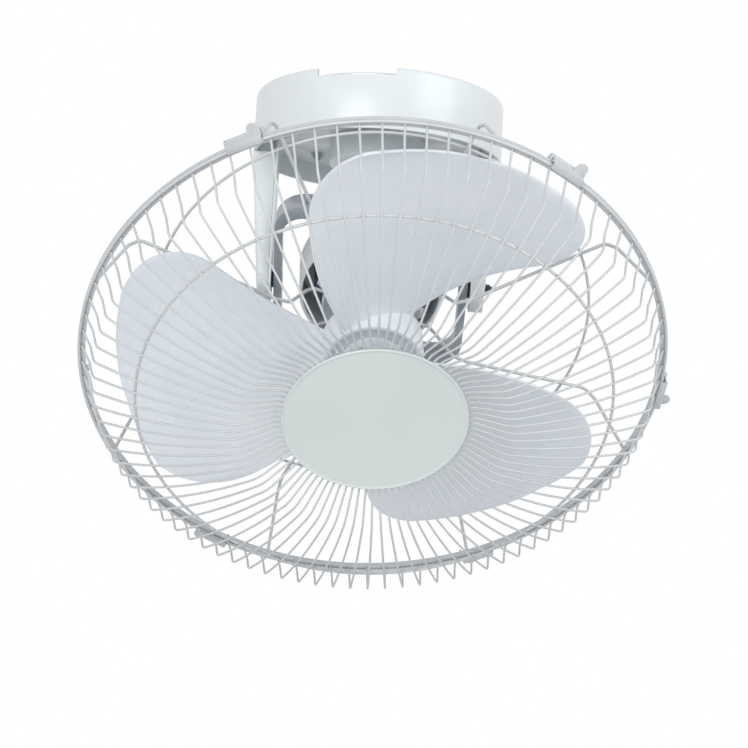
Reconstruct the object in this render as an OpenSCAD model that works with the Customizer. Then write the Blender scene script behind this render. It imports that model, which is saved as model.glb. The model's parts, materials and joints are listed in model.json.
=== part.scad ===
// Orbital ceiling fan. Millimetres, +Z up, origin at the middle of the ceiling face.
// The head hangs from a two-axis gimbal and leans by orbit_tilt; a crank in the canopy
// carries its tail round. Head pieces are drawn in a head frame: origin on the gimbal
// centre, +Z forwards through the badge, +X to the right leg.

/* [Canopy and legs] */
// Outside diameter of the canopy drum
canopy_d = 207; // [205:1:212]
// Height of the canopy drum
canopy_h = 50; // [48:1:56]
// Radius that rounds the top edge of the drum
canopy_round = 3.5; // [2:0.5:5]
// Depth of the canopy floor below the ceiling
floor_depth = 30; // [28:1:32]
// Wall thickness of the moulded covers
wall = 2.5; // [2:0.1:3]
// Width of the cable notch in the top rim
notch_w = 63; // [40:1:70]
// Depth of the cable notch
notch_h = 7; // [5:1:9]
// Turn of the cable notch from the front to the left
notch_turn = 12; // [0:1:30]
// Ceiling to the centre of the gimbal
pivot_drop = 153; // [150:1:165]
// Width of each leg
leg_w = 32; // [28:1:33]
// Distance of each leg's inner face from the middle
leg_in = 82; // [81.5:0.5:84]
// Distance of a leg's outer face from the middle, at the pivot
leg_out = 95; // [94:0.5:98]
// Thickness of the steel leg frame
frame_t = 3; // [2:0.5:4]
// Radius of the fillets under the canopy
portal_r = 20; // [12:1:24]

/* [Ceiling plate] */
// Diameter of the steel plate on the ceiling
plate_d = 170; // [162:1:180]
// Thickness of the ceiling plate
plate_t = 2; // [1.5:0.5:3]
// Diameter of the circle of ceiling screw holes
screw_pcd = 140; // [120:1:150]
// Diameter of a ceiling screw hole
screw_hole_d = 5.5; // [4.5:0.5:7]
// Diameter of the cable hole in the plate
cable_hole_d = 40; // [25:1:50]
// Distance of the canopy studs from the middle
stud_r = 72; // [66:1:80]

/* [Orbit drive] */
// Diameter of the orbit motor housing under the canopy
housing_d = 80; // [76:1:84]
// Depth of the orbit motor housing
housing_h = 23; // [21:1:25]
// Diameter of the orbit output shaft
orbit_shaft_d = 7; // [6:0.5:9]
// Radius of the ball on the tail stem
ball_r = 5.5; // [4.5:0.5:6]
// Distance from the gimbal centre to the end of the tail
tail_reach = 81.5; // [80:0.5:82]
// Distance from the gimbal centre to the mouth of the crank socket
socket_reach = 85; // [84:0.5:86]

/* [Gimbal] */
// Lean of the head away from straight down
orbit_tilt = 42.28; // [36:0.5:43]
// Sideways part of the lean in the shown pose
orbit_phase = 2.64; // [0:0.5:6]
// Width of the gimbal ring between the legs
ring_w = 160; // [156:1:160]
// Length of the gimbal ring
ring_l = 158; // [154:1:160]
// Depth of the gimbal ring along the head axis
ring_depth = 18; // [14:1:20]
// Thickness of the ring beside the legs
cheek_t = 6.5; // [5:0.5:7]
// Thickness of the two bars that carry the roll screws
bar_t = 12; // [10:0.5:12]
// Outer corner radius of the ring
ring_corner = 25; // [18:1:30]
// Diameter of the pivot and roll screws
pivot_d = 8; // [6:0.5:9]
// Running clearance on the radius of a pin in its bush
run_gap = 0.05; // [0.02:0.01:0.1]

/* [Motor] */
// Diameter of the rear motor shell
motor_d = 118; // [112:1:120]
// Diameter of the stator core
core_d = 93; // [90:1:98]
// Length of the stator core
core_len = 30; // [26:1:32]
// Diameter of the front motor shell
bell_d = 75; // [74:1:76]
// Rear face of the motor behind the gimbal centre
motor_back = 33; // [30:1:34]
// Front edge of the rear shell ahead of the gimbal centre
motor_split = 14; // [12:1:16]
// Front face of the stator core ahead of the gimbal centre
core_front = 17; // [15:1:19]
// Face of the flange that carries the guard
flange_z = 31.6; // [30:0.2:33]
// Diameter of the rotor
rotor_d = 44; // [40:1:46]
// Diameter of the motor shaft
shaft_d = 8; // [7:0.5:10]

/* [Propeller] */
// Distance from the gimbal centre to the middle plane of the guard band
band_z = 110.4; // [109:0.2:113]
// Radius of the blade tips
blade_r = 200; // [190:1:204]
// Thickness of a blade
blade_t = 2; // [1.5:0.1:3]
// Angle between the two edges of a blade at mid span
blade_span = 80.4; // [72:0.2:84]
// Height of the front edge over the lowest part of the rear edge
blade_rise = 40.5; // [34:0.5:41.5]
// Camber of a blade
blade_camber = 2; // [0:0.5:3]
// Diameter of the propeller hub
hub_d = 80; // [76:1:84]
// Diameter of the spinner nut
spinner_d = 52; // [46:1:56]

/* [Guard] */
// Outside radius of the guard band
guard_r = 228; // [226:0.5:232]
// Radial width of the flat band
band_w = 5.7; // [5:0.1:6.5]
// Thickness of the flat band
band_t = 3.4; // [3:0.1:4]
// Number of front wires
guard_wires = 90; // [60:1:96]
// Diameter of a front wire
wire_d = 1.8; // [1.6:0.1:2.4]
// Diameter of the guard rings
ring_wire_d = 2.4; // [2:0.1:3]
// Diameter of a rear stay
stay_d = 2.8; // [2.4:0.1:3.4]
// Number of rear stays
stay_count = 8; // [6:1:10]
// Radius of the front dome of the guard
dome_r = 327; // [310:1:360]
// Height of the crown of the front dome over the band
dome_h = 71.7; // [70:0.1:74]
// Depth of the badge's seat below the crown
badge_drop = 13.1; // [10:0.1:15]
// Radius of the middle ring of the front guard
mid_ring_r = 181; // [150:1:190]
// Radius of the rear ring
rear_ring_r = 175.2; // [140:1:185]
// Diameter of the badge
badge_d = 141.4; // [130:1:150]
// Length of a guard clip along the band
clip_l = 27; // [22:1:30]
// Thickness of a guard clip
clip_t = 1.3; // [1:0.1:1.6]

/* [Hidden] */
$fn = 48;

// Colours as seen on the object
white = [0.87, 0.89, 0.9];
zinc = [0.62, 0.64, 0.66];
steel = [0.75, 0.76, 0.77];
wire_white = [0.8, 0.8, 0.78];
blade_grey = [0.82, 0.84, 0.87];
badge_grey = [0.81, 0.84, 0.83];
black = [0.12, 0.12, 0.13];
core_blue = [0.3, 0.33, 0.42];
copper = [0.72, 0.42, 0.2];

// Allowances shared by every piece
cut = 1;            // how far a cutting solid runs past the face it cuts
touch = 0.03;       // hair gap where two round wires lie on each other
seat = 0.1;         // gap between covers that are only laid together
loose = 0.4;        // clearance round a screw or a passing part

// Canopy and legs
canopy_r = canopy_d / 2;
canopy_in_r = canopy_r - wall;
floor_z = -floor_depth;
floor_t = 3;
floor_under = floor_z - floor_t;
rim_w = 5.5;
leg_end_z = pivot_drop + leg_w / 2 + 4;
leg_lip = 2;
frame_w = leg_w - 6;
frame_x = leg_in + leg_lip + 0.2;
frame_top = floor_z + seat + frame_t;
frame_bend = 4;
stud_d = 5;
stud_angles = [45, 135, 225, 315];
nut_w = 9;
nut_h = 4;
screw_d = 4;

// Orbit drive
orbit_motor_r = 30;
orbit_motor_h = 16;
orbit_ear = 34.5;
ear_w = 9;
shaft_end_z = -66;
shaft_top_z = -44;
arm_t = 6;
arm_w = 15;
socket_l = 14;
socket_r = 9;
liner_t = 1.5;
strut_w = 10;

// Gimbal
bush_wall = 2;
bush_flange_r = pivot_d / 2 + 4.2;
bush_flange_t = 1.6;
cheek_in = ring_w / 2 - cheek_t;
bar_in = ring_l / 2 - bar_t;
bar_out = ring_l / 2;
roll_head_r = 6.5;
roll_head_t = 4;
boss_gap = 1.5;
boss_out = bar_in - boss_gap;
boss_r = 10;

// Motor
motor_r = motor_d / 2;
bell_r = bell_d / 2;
shell_round = 12;
shell_in_r = motor_r - wall;
core_r = core_d / 2;
core_z1 = core_front;
core_z0 = core_z1 - core_len;
core_slots = 16;
slot_depth = 12;
slot_w = 5;
air_gap = 0.4;
core_bore_r = rotor_d / 2 + air_gap;
bolt_d = 4;
bolt_r = bell_r + bolt_d + loose;
bolt_angles = [-20, 70, 160, 250];
bolt_grip = 8;
lug_t = 2.5;
bearing_r = 9;
bearing_l = 12;
bearing_boss = 4;
roll_bush_l = 10.5;
shaft_front = band_z - 6;
stem_d = 10;

// Propeller
blade_root_r = hub_d / 2 - 2;
blade_mid_r = 125;
front_edge_az = 114.2;
edge_sweep = 0.13;
front_s = -1.4;
front_climb = 0.036;
rear_low_r = 106;
rear_bow = 0.00169;
front_corner = [50.6, 12.8];
rear_corner = [64, 22.2];
span_steps = 11;
chord_steps = 10;
hub_back = 74;
hub_front = band_z - 3;
hub_wall = 3;
hub_web_z = band_z - 12;
hub_web_t = 3;
hub_boss_r = 10;
blade_count = 3;

// Guard. Heights s count forwards from the middle plane of the band.
band_half = band_t / 2;
wire_r = wire_d / 2;
ring_wire_r = ring_wire_d / 2;
stay_r = stay_d / 2;
first_wire_az = -84.66;
first_stay_az = 24;
first_clip_az = -124;
screw_az = 181.34;
lock_screw_r = guard_r - band_w - 0.8;
lock_tab = 6;
badge_r = badge_d / 2;
outer_ring_r = guard_r - ring_wire_r - touch;
wire_in_r = badge_r - 10.7;
shoulder_r = guard_r - 15.2;
shoulder_bend = 7.5;
shoulder_run = 7;
seat_s = dome_h - badge_drop;
knee_r = badge_r + 4.8;
rise_lean = 22.8;
crown_bend = 25;
crown_lean = 8;
dome_axis_r = badge_r - 4.2;
dome_lean = asin((shoulder_r - shoulder_run - dome_axis_r) / dome_r);
dome_half = (dome_lean - crown_lean) / 2;
crown_start = dome_point(crown_lean, dome_r);
crown_run = (crown_start[1] - seat_s + (crown_start[0] - knee_r) * tan(crown_lean))
    / (tan(rise_lean) + tan(crown_lean));
front_path = [
    [wire_in_r, seat_s],
    [knee_r, seat_s],
    [knee_r + crown_run, seat_s + crown_run * tan(rise_lean)],
    dome_point(crown_lean + dome_half, dome_r / cos(dome_half)),
    dome_point(dome_lean, dome_r) + shoulder_run * [1, -tan(dome_lean)],
    [guard_r - 10.9, 20],
    [outer_ring_r - ring_wire_r - wire_r - 0.02, band_half + 1]
];
front_bends = [0, 0, crown_bend, dome_r, shoulder_bend, 0, 0];
front_steps = [0, 0, 1, 2, 2, 0, 0];
stay_seat_s = flange_z + stay_r + seat - band_z;
stay_path = [
    [guard_r - 4.6, -band_half - 0.65],
    [guard_r - 23.5, -54],
    [guard_r - 32, -64.8],
    [84, -47.5],
    [71, -49],
    [57, -71],
    [51, stay_seat_s],
    [bell_r - 9, stay_seat_s]
];
stay_bends = [0, 0, 8, 0, 5, 0, 4, 0];
stay_steps = [0, 0, 3, 0, 2, 0, 1, 0];
wire_sides = 6;
clip_angles = [for (i = [0 : 4]) first_clip_az + 60 * i];
hinge = [guard_r + 1.2, -band_half - 2.6];
hinge_pin_r = 1;
knuckle_r = 2.2;
ear_t = 1.5;
clip_lip_r = guard_r - 2.6;
clip_lip_s = band_half + ring_wire_d + 0.4;
clip_out_r = guard_r + 1.3;
tab_size = 9;

// The point of the front dome where a wire leans by the given angle
function dome_point(lean, r) =
    [dome_axis_r + r * sin(lean), dome_h - dome_r + r * cos(lean)];

function unit(v) = v / norm(v);
function turn(path, i) = let (
    u = unit(path[i] - path[i - 1]),
    v = unit(path[i + 1] - path[i])
) atan2(u[0] * v[1] - u[1] * v[0], u * v);
// The points of a bent wire: each inner corner is an arc of radius bends[i] in steps[i] parts
function corner_points(path, bends, steps, i) = let (
    way = unit(path[i] - path[i - 1]),
    angle = turn(path, i),
    start = path[i] - way * bends[i] * tan(abs(angle) / 2),
    middle = start + sign(angle) * bends[i] * [-way[1], way[0]],
    from = start - middle
) steps[i] == 0 ? [path[i]] : [
    for (j = [0 : steps[i]])
        let (t = angle * j / steps[i])
        middle + [from[0] * cos(t) - from[1] * sin(t), from[0] * sin(t) + from[1] * cos(t)]
];
function wire_points(path, bends, steps) = [
    path[0],
    for (i = [1 : len(path) - 2]) each corner_points(path, bends, steps, i),
    path[len(path) - 1]
];
function wire_ring_points(points, i, d) = let (
    last = len(points) - 1,
    before = unit(points[max(i, 1)] - points[max(i, 1) - 1]),
    after = unit(points[min(i, last - 1) + 1] - points[min(i, last - 1)]),
    way = unit(before + after),
    mitre = 1 / (way * before)
) [
    for (k = [0 : wire_sides - 1])
        let (a = 360 * (k + 0.5) / wire_sides, out = d / 2 * cos(a) * mitre)
        [points[i][0] - way[1] * out, d / 2 * sin(a), points[i][1] + way[0] * out]
];

// ---------------------------------------------------------------- shared shapes

// Places children on the gimbal centre, in the plane of the gimbal ring
module gimbal_frame() {
    translate([0, 0, -pivot_drop])
        rotate([-orbit_tilt, 0, 0])
            children();
}

// Places children in the head frame
module head_frame() {
    gimbal_frame()
        rotate([0, -orbit_phase, 0])
            rotate([180, 0, 0])
                children();
}

// Places children in the head frame with the band's middle plane at zero
module guard_frame() {
    head_frame()
        translate([0, 0, band_z])
            children();
}

module tube(outer_r, inner_r, h) {
    difference() {
        cylinder(r = outer_r, h = h);
        translate([0, 0, -cut])
            cylinder(r = inner_r, h = h + 2 * cut);
    }
}

module rounded_rect(w, l, r) {
    square([w - 2 * r, l], center = true);
    square([w, l - 2 * r], center = true);
    for (x = [-1, 1])
        for (y = [-1, 1])
            translate([x * (w / 2 - r), y * (l / 2 - r)])
                circle(r = r);
}

module wire_ring(r, d) {
    rotate_extrude()
        translate([r, 0])
            circle(d = d);
}

// A wire bent in the XZ plane, swept along its points with mitred corners
module bent_wire(path, bends, steps, d) {
    points = wire_points(path, bends, steps);
    last = len(points) - 1;
    skin = [for (i = [0 : last]) each wire_ring_points(points, i, d)];
    walls = [
        for (i = [0 : last - 1])
            for (k = [0 : wire_sides - 1])
                let (a = i * wire_sides + k, b = i * wire_sides + (k + 1) % wire_sides)
                each [[a, b, a + wire_sides], [b, b + wire_sides, a + wire_sides]]
    ];
    start = [for (k = [0 : wire_sides - 1]) wire_sides - 1 - k];
    end = [for (k = [0 : wire_sides - 1]) last * wire_sides + k];
    polyhedron(points = skin, faces = concat(walls, [start], [end]));
}

module pan_screw(d, length, head_r, head_t) {
    cylinder(d = d, h = length);
    translate([0, 0, length])
        difference() {
            cylinder(r = head_r, h = head_t);
            for (a = [0, 90])
                rotate([0, 0, a])
                    translate([-head_r * 0.6, -0.5, head_t / 2])
                        cube([head_r * 1.2, 1, head_t]);
        }
}

// ---------------------------------------------------------------- canopy

module mounting_plate() {
    color(steel)
        difference() {
            translate([0, 0, -plate_t])
                cylinder(d = plate_d, h = plate_t);
            translate([0, 0, -plate_t - cut])
                cylinder(d = cable_hole_d, h = plate_t + 2 * cut);
            for (a = [0 : 90 : 270])
                rotate([0, 0, a])
                    translate([screw_pcd / 2, 0, -plate_t - cut])
                        cylinder(d = screw_hole_d, h = plate_t + 2 * cut);
        }
}

module plate_studs() {
    color(steel)
        for (a = stud_angles)
            rotate([0, 0, a])
                translate([stud_r, 0, floor_under - nut_h - 2])
                    cylinder(d = stud_d, h = -floor_under + nut_h + 2 - plate_t);
}

module canopy_nuts() {
    color(steel)
        for (a = stud_angles)
            rotate([0, 0, a])
                translate([stud_r, 0, floor_under - nut_h])
                    difference() {
                        union() {
                            translate([0, 0, nut_h - 1])
                                cylinder(r = nut_w * 0.7, h = 1);
                            cylinder(d = nut_w, h = nut_h, $fn = 6);
                        }
                        translate([0, 0, -cut])
                            cylinder(d = stud_d, h = nut_h + 2 * cut);
                    }
}

module canopy_section() {
    difference() {
        union() {
            translate([0, -canopy_h])
                square([canopy_r - canopy_round, canopy_h]);
            translate([0, -canopy_h])
                square([canopy_r, canopy_h - canopy_round]);
            translate([canopy_r - canopy_round, -canopy_round])
                circle(r = canopy_round);
        }
        translate([0, -canopy_h - cut])
            square([canopy_in_r, canopy_h + cut - canopy_round - wall]);
        translate([0, -canopy_h])
            square([canopy_r - rim_w, canopy_h + cut]);
    }
}

module canopy_shell() {
    color(white)
        difference() {
            union() {
                rotate_extrude()
                    canopy_section();
                translate([0, 0, floor_under])
                    cylinder(r = canopy_in_r + wall / 2, h = floor_t);
            }
            rotate([0, 0, -notch_turn])
                translate([-notch_w / 2, -canopy_r - cut, -notch_h])
                    cube([notch_w, rim_w + 12, notch_h + cut]);
            for (x = [-1, 1])
                translate([x * (frame_x + frame_t / 2), 0, floor_z - floor_t / 2])
                    cube([frame_t + 4 * loose, frame_w + 2 * loose, floor_t + 2 * cut], center = true);
            for (a = stud_angles)
                rotate([0, 0, a])
                    translate([stud_r, 0, floor_under - cut])
                        cylinder(d = stud_d + loose, h = floor_t + 2 * cut);
            translate([0, 0, floor_under - cut])
                cylinder(d = orbit_shaft_d + 6, h = floor_t + 2 * cut);
            for (x = [-1, 1])
                translate([x * orbit_ear, 0, floor_under - cut])
                    cylinder(d = screw_d, h = floor_t + 2 * cut);
        }
}

module terminal_block() {
    color(white)
        translate([-22, 52, floor_z])
            difference() {
                cube([44, 18, 15]);
                for (i = [0 : 3])
                    translate([6.5 + i * 10.3, 9, 5])
                        cylinder(d = 4.5, h = 15);
            }
}

module run_capacitor() {
    color(black)
        translate([-19, -70, floor_z]) {
            cube([38, 16, 22]);
            translate([-8, 0, 0])
                cube([8, 16, 2]);
        }
}

// ---------------------------------------------------------------- orbit drive

module orbit_motor() {
    color(steel)
        difference() {
            union() {
                translate([0, 0, floor_under - orbit_motor_h])
                    cylinder(r = orbit_motor_r, h = orbit_motor_h - seat);
                for (x = [-1, 1])
                    translate([x * (orbit_motor_r - 1), -ear_w / 2, floor_under - 2])
                        mirror([x < 0 ? 1 : 0, 0, 0])
                            cube([8, ear_w, 2 - seat]);
            }
            translate([0, 0, floor_under - orbit_motor_h - cut])
                cylinder(d = orbit_shaft_d + 2 * run_gap, h = orbit_motor_h + 2 * cut);
            for (x = [-1, 1])
                translate([x * orbit_ear, 0, floor_under - 3])
                    cylinder(d = screw_d, h = 4);
        }
}

module orbit_motor_screws() {
    color(steel)
        for (x = [-1, 1])
            translate([x * orbit_ear, 0, floor_z])
                rotate([180, 0, 0])
                    cylinder(d = screw_d, h = floor_t + 3.2);
}

module orbit_housing() {
    bottom = floor_under - housing_h;
    color(white)
        difference() {
            union() {
                translate([0, 0, bottom + 4])
                    cylinder(d = housing_d, h = housing_h - 4 - seat);
                translate([0, 0, bottom])
                    cylinder(d = housing_d - 8, h = 5);
                translate([0, 0, bottom + 4])
                    wire_ring(housing_d / 2 - 4, 8);
            }
            translate([0, 0, bottom + wall])
                cylinder(d = housing_d - 2 * wall, h = housing_h);
            translate([0, 0, bottom - cut])
                cylinder(d = orbit_shaft_d + 9, h = wall + 2 * cut);
        }
}

module orbit_shaft() {
    color(steel)
        translate([0, 0, shaft_end_z])
            cylinder(d = orbit_shaft_d, h = shaft_top_z - shaft_end_z);
}

// Turns the crank to the side that the tail leans to
module crank_frame() {
    lean = [-sin(orbit_phase), sin(orbit_tilt) * cos(orbit_phase)];
    rotate([0, 0, atan2(lean[1], lean[0])])
        children();
}

module tail_axis_frame() {
    translate([0, 0, -pivot_drop])
        rotate([0, total_lean(), 0])
            children();
}

function total_lean() = acos(cos(orbit_tilt) * cos(orbit_phase));
// Height over which the gimbal ring's bars never rise
function sweep_top() = 1 - pivot_drop + bar_out * sin(orbit_tilt) + ring_depth / 2 * cos(orbit_tilt);
function socket_middle() = (socket_reach + socket_l) * sin(total_lean());

module below_sweep_top() {
    translate([-100, -100, sweep_top() - 40])
        cube([200, 200, 40]);
}

module crank_arm() {
    reach = socket_middle() - 4;
    color(steel)
        crank_frame()
            difference() {
                union() {
                    translate([0, 0, shaft_end_z])
                        linear_extrude(height = arm_t) {
                            translate([0, -arm_w / 2])
                                square([reach, arm_w]);
                            circle(d = arm_w + 4);
                            translate([reach, 0])
                                circle(d = arm_w);
                        }
                    translate([0, 0, shaft_end_z])
                        cylinder(d = arm_w + 1, h = 8.5);
                    tail_axis_frame()
                        translate([0, 0, socket_reach])
                            cylinder(r = socket_r, h = socket_l + 3);
                    translate([0, strut_w / 2, 0])
                        rotate([90, 0, 0])
                            linear_extrude(height = strut_w)
                                polygon([
                                    [reach - 16, shaft_end_z + 1],
                                    [reach - 9, -pivot_drop + 77],
                                    [reach + 4, -pivot_drop + 74],
                                    [reach + arm_w / 2 - 1, shaft_end_z + 1]
                                ]);
                }
                translate([0, 0, shaft_end_z - cut])
                    cylinder(d = orbit_shaft_d, h = 12);
                tail_axis_frame()
                    translate([0, 0, socket_reach - cut])
                        cylinder(r = ball_r + loose + liner_t, h = socket_l + cut);
                translate([-12, 0, shaft_end_z + 5])
                    rotate([0, 90, 0])
                        cylinder(d = 3, h = 12);
                below_sweep_top();
            }
}

module crank_screw() {
    color(black)
        crank_frame()
            translate([-9, 0, shaft_end_z + 5])
                rotate([0, 90, 0])
                    cylinder(d = 3, h = 9 - orbit_shaft_d / 2);
}

module ball_socket() {
    color(black)
        crank_frame()
            difference() {
                tail_axis_frame()
                    translate([0, 0, socket_reach]) {
                        tube(ball_r + loose + liner_t, ball_r + loose, socket_l - liner_t);
                        translate([0, 0, socket_l - liner_t])
                            cylinder(r = ball_r + loose + liner_t, h = liner_t);
                    }
                below_sweep_top();
            }
}

// ---------------------------------------------------------------- legs

module leg_frame() {
    reach = frame_x + frame_t;
    color(zinc)
        difference() {
            union() {
                translate([-reach + frame_bend, -frame_w / 2, floor_z + seat])
                    cube([2 * (reach - frame_bend), frame_w, frame_t]);
                for (x = [-1, 1])
                    mirror([x < 0 ? 1 : 0, 0, 0]) {
                        translate([frame_x, -frame_w / 2, -pivot_drop])
                            cube([frame_t, frame_w, pivot_drop + frame_top - frame_bend]);
                        translate([frame_x, 0, -pivot_drop])
                            rotate([0, 90, 0])
                                cylinder(d = frame_w, h = frame_t);
                        translate([reach - frame_bend, frame_w / 2, frame_top - frame_bend])
                            rotate([90, 0, 0])
                                linear_extrude(height = frame_w)
                                    intersection() {
                                        difference() {
                                            circle(r = frame_bend);
                                            circle(r = frame_bend - frame_t);
                                        }
                                        square(frame_bend + cut);
                                    }
                    }
            }
            for (x = [-1, 1])
                translate([x > 0 ? frame_x - cut : -reach - cut, 0, -pivot_drop])
                    rotate([0, 90, 0])
                        cylinder(d = pivot_d, h = frame_t + 2 * cut);
            for (x = [-1, 1])
                translate([x * orbit_ear, 0, floor_z])
                    cylinder(d = screw_d + 2, h = 8);
            for (x = [-1, 1])
                translate([x * 60, 0, floor_z])
                    cylinder(d = screw_d, h = 8);
        }
}

module frame_screws() {
    color(steel)
        for (x = [-1, 1])
            translate([x * 60, 0, floor_z + seat])
                pan_screw(screw_d, frame_t, 4, 2.6);
}

// The rounded-end outline of a leg, seen from the side, in Y and Z
module leg_outline(w, top) {
    end_r = w / 2;
    translate([0, -pivot_drop - 4])
        circle(r = end_r);
    translate([-end_r, -pivot_drop - 4])
        square([w, pivot_drop + 4 + top]);
}

module leg_blank(w, top, from_x, shrink) {
    slope = (canopy_r - leg_out) / (pivot_drop - canopy_h);
    intersection() {
        translate([from_x, 0, 0])
            rotate([90, 0, 90])
                linear_extrude(height = 40)
                    leg_outline(w, top);
        translate([0, 0, -leg_end_z - cut])
            cylinder(
                r1 = canopy_r - slope * (leg_end_z + cut - canopy_h) - shrink,
                r2 = canopy_r - shrink,
                h = leg_end_z + cut - canopy_h
            );
    }
}

module leg_cover(screw_hole) {
    top = -canopy_h - seat;
    difference() {
        leg_blank(leg_w, top, leg_in + leg_lip + seat, 0);
        leg_blank(leg_w - 2 * wall, top + cut, leg_in - cut, wall);
        if (screw_hole)
            translate([leg_in, 0, -pivot_drop])
                rotate([0, 90, 0])
                    cylinder(d = 5.6, h = 40);
    }
}

module left_leg_cover() {
    color(white)
        mirror([1, 0, 0])
            leg_cover(false);
}

module right_leg_cover() {
    color(white)
        leg_cover(true);
}

// The inner cover closes the leg and runs up to the canopy floor in a fillet
module inner_cover() {
    top = floor_under - seat;
    difference() {
        union() {
            translate([leg_in, 0, 0])
                rotate([90, 0, 90])
                    linear_extrude(height = leg_lip)
                        leg_outline(leg_w, top);
            translate([leg_in - portal_r, leg_w / 2, top - portal_r])
                rotate([90, 0, 0])
                    linear_extrude(height = leg_w)
                        difference() {
                            square([portal_r + 1, portal_r]);
                            circle(r = portal_r);
                        }
        }
        translate([leg_in - cut, 0, -pivot_drop])
            rotate([0, 90, 0])
                cylinder(r = bush_flange_r + loose, h = leg_lip + 2 * cut);
    }
}

module left_inner_cover() {
    color(white)
        mirror([1, 0, 0])
            inner_cover();
}

module right_inner_cover() {
    color(white)
        inner_cover();
}

module pivot_screw(tail) {
    translate([cheek_in + 1, 0, -pivot_drop])
        rotate([0, 90, 0]) {
            cylinder(d = pivot_d, h = frame_x + frame_t - cheek_in - 1);
            translate([0, 0, frame_x + frame_t - cheek_in - 1])
                cylinder(d = pivot_d + 5, h = 3);
            if (tail)
                cylinder(d = 5, h = leg_out + 5.8 - cheek_in - 1);
        }
}

module pivot_screws() {
    color(black) {
        pivot_screw(true);
        mirror([1, 0, 0])
            pivot_screw(false);
    }
}

module lock_nut() {
    color(black)
        translate([leg_out + 0.6, 0, -pivot_drop])
            rotate([0, 90, 0])
                difference() {
                    cylinder(d = 8, h = 3.2, $fn = 6);
                    translate([0, 0, -cut])
                        cylinder(d = 5, h = 6);
                }
}

// ---------------------------------------------------------------- gimbal

module gimbal_ring() {
    color(zinc)
        gimbal_frame()
            difference() {
                translate([0, 0, -ring_depth / 2])
                    linear_extrude(height = ring_depth)
                        difference() {
                            rounded_rect(ring_w, ring_l, ring_corner);
                            rounded_rect(2 * cheek_in, 2 * bar_in, ring_corner - 8);
                        }
                for (x = [-1, 1])
                    translate([x > 0 ? cheek_in - cut : -ring_w / 2 - cut, 0, 0])
                        rotate([0, 90, 0])
                            cylinder(r = pivot_d / 2 + bush_wall, h = cheek_t + 2 * cut);
                for (a = [0, 180])
                    rotate([0, 0, a])
                        translate([0, bar_in - cut, 0])
                            rotate([-90, 0, 0]) {
                                cylinder(d = pivot_d, h = bar_t + 2 * cut);
                                translate([0, 0, bar_t + cut - roll_head_t])
                                    cylinder(r = roll_head_r + 0.2, h = roll_head_t + cut);
                            }
                for (x = [-1, 1])
                    for (y = [-1, 1])
                        translate([x * 36, y * (bar_out - 2), 0])
                            cube([38, 8, ring_depth - 7], center = true);
            }
}

module pivot_bushes() {
    color(black)
        gimbal_frame()
            for (x = [-1, 1])
                mirror([x < 0 ? 1 : 0, 0, 0])
                    translate([cheek_in, 0, 0])
                        rotate([0, 90, 0])
                            difference() {
                                union() {
                                    cylinder(r = pivot_d / 2 + bush_wall, h = cheek_t);
                                    translate([0, 0, cheek_t])
                                        cylinder(r = bush_flange_r, h = bush_flange_t);
                                }
                                translate([0, 0, -cut])
                                    cylinder(r = pivot_d / 2 + run_gap, h = cheek_t + 4);
                            }
}

module roll_screws() {
    color(zinc)
        gimbal_frame()
            for (a = [0, 180])
                rotate([0, 0, a])
                    translate([0, boss_out - roll_bush_l, 0])
                        rotate([-90, 0, 0]) {
                            cylinder(d = pivot_d, h = bar_out - boss_out + roll_bush_l);
                            translate([0, 0, bar_out - boss_out + roll_bush_l - roll_head_t])
                                cylinder(r = roll_head_r, h = roll_head_t);
                        }
}

module roll_bushes() {
    color(black)
        head_frame()
            for (a = [0, 180])
                rotate([0, 0, a])
                    translate([0, boss_out - roll_bush_l, 0])
                        rotate([-90, 0, 0])
                            tube(pivot_d / 2 + bush_wall, pivot_d / 2 + run_gap, roll_bush_l);
}

// ---------------------------------------------------------------- motor

module shell_profile() {
    translate([0, -motor_back + shell_round])
        square([motor_r, motor_split + motor_back - shell_round]);
    translate([0, -motor_back])
        square([motor_r - shell_round, shell_round + 1]);
    translate([motor_r - shell_round, -motor_back + shell_round])
        circle(r = shell_round);
}

module motor_rear_shell() {
    color(white)
        head_frame()
            difference() {
                union() {
                    rotate_extrude()
                        intersection() {
                            shell_profile();
                            translate([0, -motor_back - cut])
                                square([motor_r + cut, 100]);
                        }
                    for (a = [0, 180])
                        rotate([0, 0, a])
                            translate([0, shell_in_r, 0])
                                rotate([-90, 0, 0])
                                    cylinder(r = boss_r, h = boss_out - shell_in_r);
                }
                translate([0, 0, -motor_back + shell_round])
                    cylinder(r = shell_in_r, h = 100);
                translate([0, 0, -motor_back + wall + 1])
                    cylinder(r = motor_r - shell_round, h = 100);
                for (a = [0, 180])
                    rotate([0, 0, a])
                        translate([0, boss_out - roll_bush_l, 0])
                            rotate([-90, 0, 0])
                                cylinder(r = pivot_d / 2 + bush_wall, h = roll_bush_l + cut);
                for (a = [45 : 90 : 315])
                    for (k = [-1, 0, 1])
                        rotate([0, 0, a + k * 14])
                            translate([24, -1.5, -motor_back - cut])
                                cube([16, 3, wall + 3]);
            }
    color(white)
        head_frame() {
            translate([0, 0, -motor_back + wall])
                tube(bearing_r + 3, bearing_r, bearing_l - 4);
            for (a = bolt_angles)
                rotate([0, 0, a])
                    translate([bolt_r, 0, -motor_back + wall])
                        difference() {
                            cylinder(r = bolt_d, h = core_z0 + motor_back - wall - touch);
                            translate([0, 0, core_z0 + motor_back - wall - bolt_grip])
                                cylinder(d = bolt_d, h = bolt_grip + cut);
                        }
        }
}

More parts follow.
